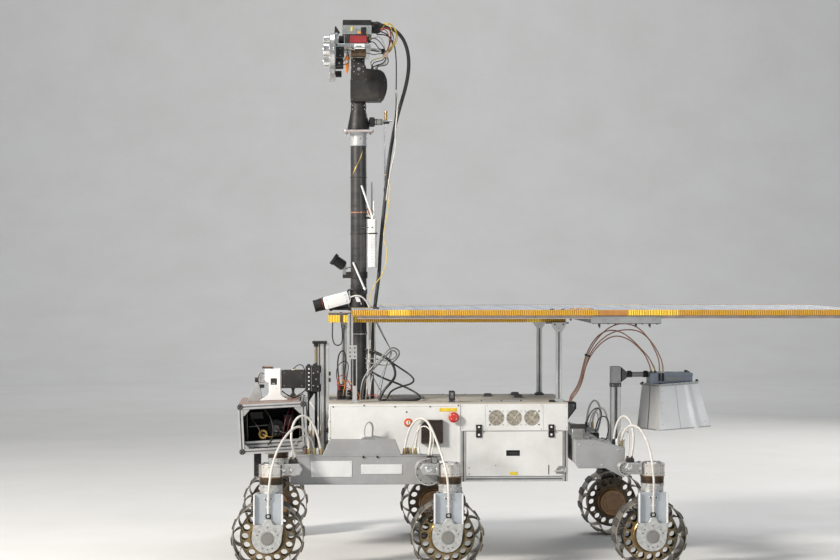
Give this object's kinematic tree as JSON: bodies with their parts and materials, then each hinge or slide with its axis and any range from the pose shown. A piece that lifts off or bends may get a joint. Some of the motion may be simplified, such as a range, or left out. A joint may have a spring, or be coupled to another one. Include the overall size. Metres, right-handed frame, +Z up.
{
  "type": "six-wheeled planetary rover test vehicle",
  "caption": "Planetary rover test vehicle with metal wheels on steered legs, a camera mast, a flat solar panel deck, a front drill box on a rail and a rear radar horn.",
  "frame": {"origin": "on the ground, in the middle of the overall box", "axes": "+Z up, -X is the rover's front, -Y is its left side"},
  "size_m": [2.497, 1.356, 2.169],
  "materials": {
    "white_paint": "satin",
    "grey_paint": "satin",
    "leg_paint": "satin",
    "deck_paint": "matt",
    "profile_aluminium": "anodised",
    "machined_aluminium": "machined",
    "horn_sheet": "sheet",
    "wheel_metal": "brushed and dusty",
    "wheel_bronze": "anodised, dusty",
    "brass_fittings": "machined",
    "black_tube": "gloss",
    "black_metal": "anodised",
    "black_plastic": "moulded",
    "dark_instrument": "satin",
    "white_plastic": "moulded",
    "red_plastic": "moulded",
    "solar_board": "satin",
    "amber_tape": "film",
    "white_cable": "smooth",
    "black_cable": "smooth",
    "copper_cable": "smooth"
  },
  "bodies": {
    "chassis": {"access_point": "white_plastic", "antennas": "white_plastic", "battery": "black_plastic", "body_controls": "black_plastic", "bogie_pivots": "machined_aluminium", "deck_leads": "black_cable", "deck_plate": "deck_paint", "door_hinges": "black_plastic", "drive_leads": "white_cable", "emergency_stops": "red_plastic", "fan_panels": "white_paint", "front_body": "white_paint", "front_rail": "profile_aluminium", "lead_connectors": "brass_fittings", "left_bogie": "grey_paint", "leg_arms": "machined_aluminium", "leg_leads": "white_cable", "mast_camera": "white_plastic", "mast_collar": "black_metal", "mast_lamp": "black_plastic", "mast_leads": "black_cable", "mast_loom": "black_cable", "mast_sensor_arm": "black_metal", "mast_tube": "black_tube", "panel_frame": "profile_aluminium", "panel_posts": "profile_aluminium", "radar_boom": "profile_aluminium", "radar_cables": "copper_cable", "radar_horn": "horn_sheet", "rear_bogie": "grey_paint", "rear_frame": "profile_aluminium", "rear_panels": "white_paint", "right_bogie": "grey_paint", "solar_panel_front": "solar_board", "solar_panel_lower": "solar_board", "solar_panel_rear": "solar_board", "steering_motors": "machined_aluminium"},
    "pan": {"pan_unit": "black_metal"},
    "camera_head": {"camera_bench": "machined_aluminium", "stereo_cameras": "machined_aluminium", "head_instruments": "dark_instrument"},
    "door_left": {"left_door": "white_paint"},
    "door_right": {"right_door": "white_paint"},
    "drill_slide": {"drill_carriage": "black_metal", "drill_camera": "black_plastic", "drill_box_frame": "profile_aluminium", "drill_box_panels": "black_metal", "drill_post": "black_metal"},
    "steering_front_left": {"leg_front_left": "leg_paint"},
    "spinning_front_left": {"wheel_front_left": "wheel_metal"},
    "steering_front_right": {"leg_front_right": "leg_paint"},
    "spinning_front_right": {"wheel_front_right": "wheel_metal"},
    "steering_middle_left": {"leg_middle_left": "leg_paint"},
    "spinning_middle_left": {"wheel_middle_left": "wheel_metal"},
    "steering_middle_right": {"leg_middle_right": "leg_paint"},
    "spinning_middle_right": {"wheel_middle_right": "wheel_metal"},
    "steering_rear_left": {"leg_rear_left": "leg_paint"},
    "spinning_rear_left": {"wheel_rear_left": "wheel_metal"},
    "steering_rear_right": {"leg_rear_right": "leg_paint"},
    "spinning_rear_right": {"wheel_rear_right": "wheel_metal"}
  },
  "joints": [
    {"name": "steer_front_left", "type": "hinge", "parent": "chassis", "child": "steering_front_left", "pos_m": [-1.094, -0.575, 0.341], "axis": [0, 0, 1], "range_deg": [-90, 90], "deforming": ["drive_leads"]},
    {"name": "spin_front_left", "type": "hinge", "parent": "steering_front_left", "child": "spinning_front_left", "pos_m": [-1.106, -0.575, 0.1425], "axis": [0, 1, 0], "continuous": true},
    {"name": "steer_front_right", "type": "hinge", "parent": "chassis", "child": "steering_front_right", "pos_m": [-1.094, 0.575, 0.341], "axis": [0, 0, 1], "range_deg": [-90, 90], "deforming": ["drive_leads"]},
    {"name": "spin_front_right", "type": "hinge", "parent": "steering_front_right", "child": "spinning_front_right", "pos_m": [-1.106, 0.575, 0.1425], "axis": [0, 1, 0], "continuous": true},
    {"name": "steer_middle_left", "type": "hinge", "parent": "chassis", "child": "steering_middle_left", "pos_m": [-0.404, -0.575, 0.341], "axis": [0, 0, 1], "range_deg": [-90, 90], "deforming": ["drive_leads"]},
    {"name": "spin_middle_left", "type": "hinge", "parent": "steering_middle_left", "child": "spinning_middle_left", "pos_m": [-0.416, -0.575, 0.1425], "axis": [0, 1, 0], "continuous": true},
    {"name": "steer_middle_right", "type": "hinge", "parent": "chassis", "child": "steering_middle_right", "pos_m": [-0.404, 0.575, 0.341], "axis": [0, 0, 1], "range_deg": [-90, 90], "deforming": ["drive_leads"]},
    {"name": "spin_middle_right", "type": "hinge", "parent": "steering_middle_right", "child": "spinning_middle_right", "pos_m": [-0.416, 0.575, 0.1425], "axis": [0, 1, 0], "continuous": true},
    {"name": "steer_rear_left", "type": "hinge", "parent": "chassis", "child": "steering_rear_left", "pos_m": [0.384, -0.575, 0.341], "axis": [0, 0, 1], "range_deg": [-90, 90], "deforming": ["drive_leads"]},
    {"name": "spin_rear_left", "type": "hinge", "parent": "steering_rear_left", "child": "spinning_rear_left", "pos_m": [0.372, -0.575, 0.1425], "axis": [0, 1, 0], "continuous": true},
    {"name": "steer_rear_right", "type": "hinge", "parent": "chassis", "child": "steering_rear_right", "pos_m": [0.384, 0.575, 0.341], "axis": [0, 0, 1], "range_deg": [-90, 90], "deforming": ["drive_leads"]},
    {"name": "spin_rear_right", "type": "hinge", "parent": "steering_rear_right", "child": "spinning_rear_right", "pos_m": [0.372, 0.575, 0.1425], "axis": [0, 1, 0], "continuous": true},
    {"name": "pan", "type": "hinge", "parent": "chassis", "child": "pan", "pos_m": [-0.749, 0, 1.858], "axis": [0, 0, 1], "range_deg": [-150, 150], "deforming": ["mast_loom"]},
    {"name": "tilt", "type": "hinge", "parent": "pan", "child": "camera_head", "pos_m": [-0.749, 0, 1.99], "axis": [0, -1, 0], "range_deg": [-30, 60], "deforming": ["mast_loom"]},
    {"name": "door_left_hinge", "type": "hinge", "parent": "chassis", "child": "door_left", "pos_m": [-0.128, -0.29, 0.522], "axis": [-1, 0, 0], "range_deg": [0, 100]},
    {"name": "door_right_hinge", "type": "hinge", "parent": "chassis", "child": "door_right", "pos_m": [-0.128, 0.29, 0.522], "axis": [1, 0, 0], "range_deg": [0, 100]},
    {"name": "drill_lift", "type": "slide", "parent": "chassis", "child": "drill_slide", "axis": [0, 0, 1], "range_m": [-0.24, 0.07]}
  ]
}
